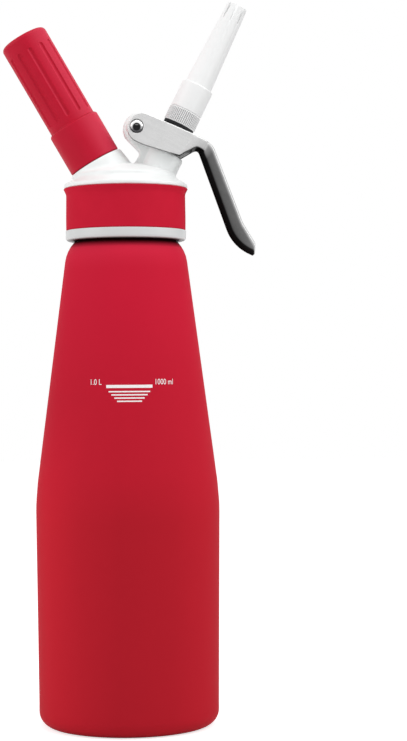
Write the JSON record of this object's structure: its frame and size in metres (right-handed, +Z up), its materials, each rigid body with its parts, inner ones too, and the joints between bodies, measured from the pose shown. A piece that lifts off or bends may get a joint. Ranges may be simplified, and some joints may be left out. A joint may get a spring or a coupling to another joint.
{
  "type": "whipped cream dispenser",
  "caption": "Aluminium bottle with a screw-on head that holds a gas charger, a squeeze lever valve and a toothed decorating tip, for whipped cream.",
  "frame": {"origin": "centre of the bottle's foot ring, on the surface it stands on", "axes": "+Z up along the bottle, +X towards the lever and the decorating tip, the charger holder leans to -X"},
  "size_m": [0.1295, 0.095, 0.3744],
  "materials": {
    "bottle_coat": "satin soft-touch coat, red",
    "grip_rubber": "matt red rubber",
    "head_white": "glossy white",
    "ring_white": "satin white",
    "holder_red": "satin red",
    "lever_metal": "satin cast metal",
    "pin_steel": "polished",
    "steel_parts": "turned",
    "spring_steel": "drawn wire",
    "seal_rubber": "matt black",
    "valve_rubber": "matt dark red",
    "bush_plastic": "moulded",
    "tip_white": "satin white",
    "charger_steel": "zinc-plated"
  },
  "bodies": {
    "bottle": {"bottle": "bottle_coat"},
    "seal": {"head_gasket": "valve_rubber"},
    "head": {"head_body": "head_white", "grip_band": "grip_rubber", "skirt_ring": "ring_white", "port_stub": "steel_parts", "piercing_pin": "steel_parts", "charger_seal": "seal_rubber", "check_valve": "valve_rubber", "valve_seat": "steel_parts", "stem_bush": "bush_plastic", "spring_washer": "steel_parts", "valve_spring": "spring_steel", "pivot_pin": "pin_steel", "pivot_nut": "pin_steel", "pivot_washers": "bush_plastic"},
    "lever": {"lever": "lever_metal"},
    "valve_stem": {"valve_stem": "steel_parts", "poppet_seal": "seal_rubber", "stem_rings": "seal_rubber", "thrust_collar": "steel_parts", "jam_nut": "steel_parts", "nozzle_adaptor": "tip_white", "adaptor_washer": "seal_rubber", "tip_seal": "seal_rubber"},
    "tip": {"decorator_tip": "tip_white"},
    "charger": {"charger": "charger_steel"},
    "charger_holder": {"charger_holder": "holder_red", "holder_pad": "valve_rubber"}
  },
  "joints": [
    {"name": "head_lift", "type": "slide", "parent": "bottle", "child": "seal", "axis": [0, 0, 1], "range_m": [0, 0.01]},
    {"name": "head_unscrew", "type": "hinge", "parent": "seal", "child": "head", "pos_m": [0, 0, 0.262], "axis": [0, 0, 1], "range_deg": [0, 920]},
    {"name": "lever_press", "type": "hinge", "parent": "head", "child": "lever", "pos_m": [0.00584, 0, 0.30847], "axis": [0, 1, 0], "range_deg": [0, 10.5]},
    {"name": "valve_stem_press", "type": "slide", "parent": "head", "child": "valve_stem", "axis": [-0.4462, 0, -0.8949], "range_m": [0, 0.00338], "stiffness_N_per_m": 1000, "springref_m": -0.006, "deforming": ["valve_spring"]},
    {"name": "tip_lift_off", "type": "slide", "parent": "valve_stem", "child": "tip", "axis": [0.4462, 0, 0.8949], "range_m": [0, 0.02]},
    {"name": "charger_lift", "type": "slide", "parent": "head", "child": "charger", "axis": [-0.5, 0, 0.866], "range_m": [0, 0.009]},
    {"name": "holder_unscrew", "type": "hinge", "parent": "charger", "child": "charger_holder", "pos_m": [-0.02, 0, 0.29884], "axis": [-0.5, 0, 0.866], "range_deg": [0, 1100]}
  ],
  "couplings": [
    {"joint": "head_unscrew", "follows": "head_lift", "rad_per_m": 1570.8},
    {"joint": "lever_press", "follows": "valve_stem_press", "rad_per_m": 51.546},
    {"joint": "holder_unscrew", "follows": "charger_lift", "rad_per_m": 2094.4}
  ]
}
